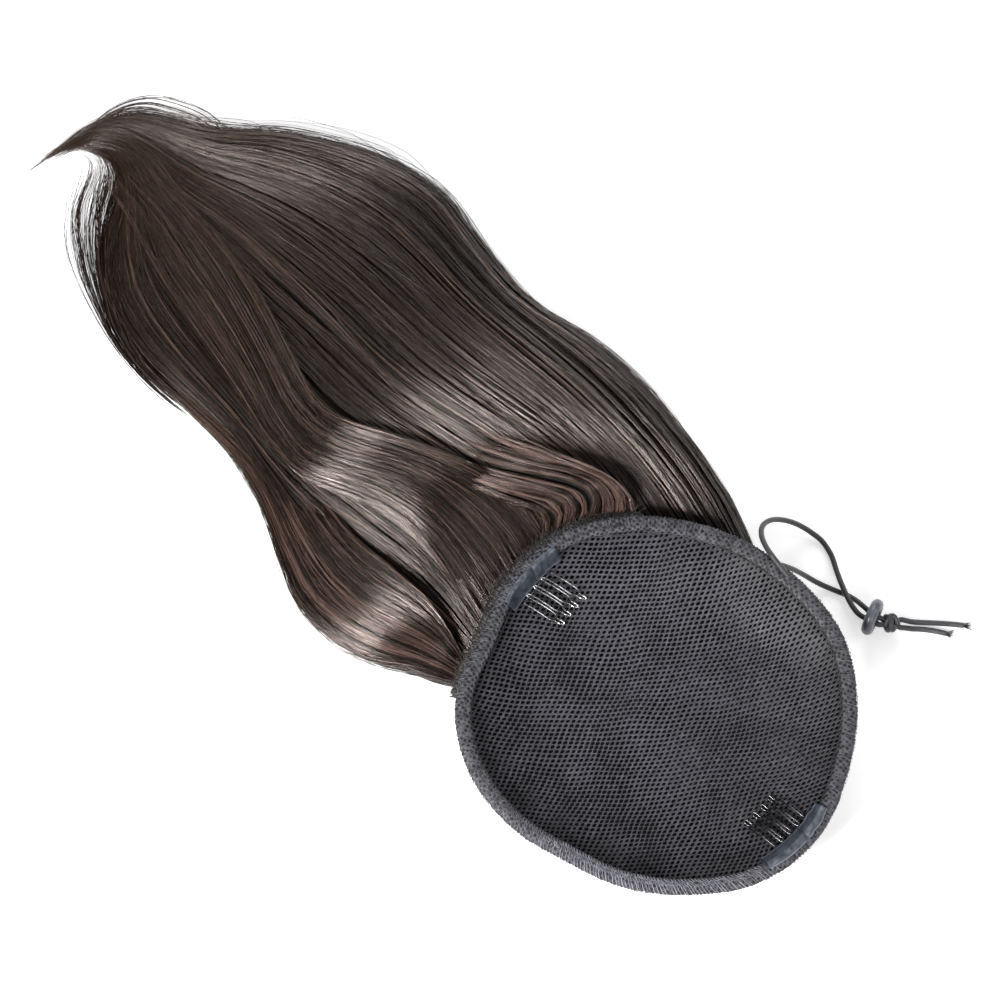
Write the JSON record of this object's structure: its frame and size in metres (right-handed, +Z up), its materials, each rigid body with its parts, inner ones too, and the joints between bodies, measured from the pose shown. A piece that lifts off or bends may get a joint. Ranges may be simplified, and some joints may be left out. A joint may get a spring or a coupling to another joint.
{
  "type": "ponytail hairpiece",
  "caption": "Drawstring ponytail hairpiece: wavy dark brown hair sewn to an open net cap with combs, lying with the cap's inside facing up.",
  "frame": {"origin": "on the floor, below the middle of the box of the hairpiece without its drawstring", "axes": "+Z up out of the open cap, the hair runs from under the cap towards -X and +Y, and the drawstring leaves the cap on its +X side"},
  "size_m": [0.3374, 0.3032, 0.0341],
  "materials": {
    "net": "matt nylon net",
    "hem": "matt doubled net with overlocked edge",
    "weft": "fuzzy stitched weft",
    "ribbon": "satin ribbon",
    "comb_wire": "bright drawn wire",
    "cord": "glossy covered elastic",
    "ring": "satin rubber",
    "hair": "glossy dark brown hair"
  },
  "bodies": {
    "root": {"net_cap": "net", "rim_hem": "hem", "weft_track": "weft", "comb_ribbon_1": "ribbon", "comb_ribbon_2": "ribbon", "comb_wire_1": "comb_wire", "comb_wire_2": "comb_wire", "cord_loop_leg": "cord", "cord_straight_leg": "cord", "cord_tail_long": "cord", "cord_tail_short": "cord", "cord_knot": "cord", "cord_ring": "ring", "hair": "hair"}
  },
  "joints": []
}
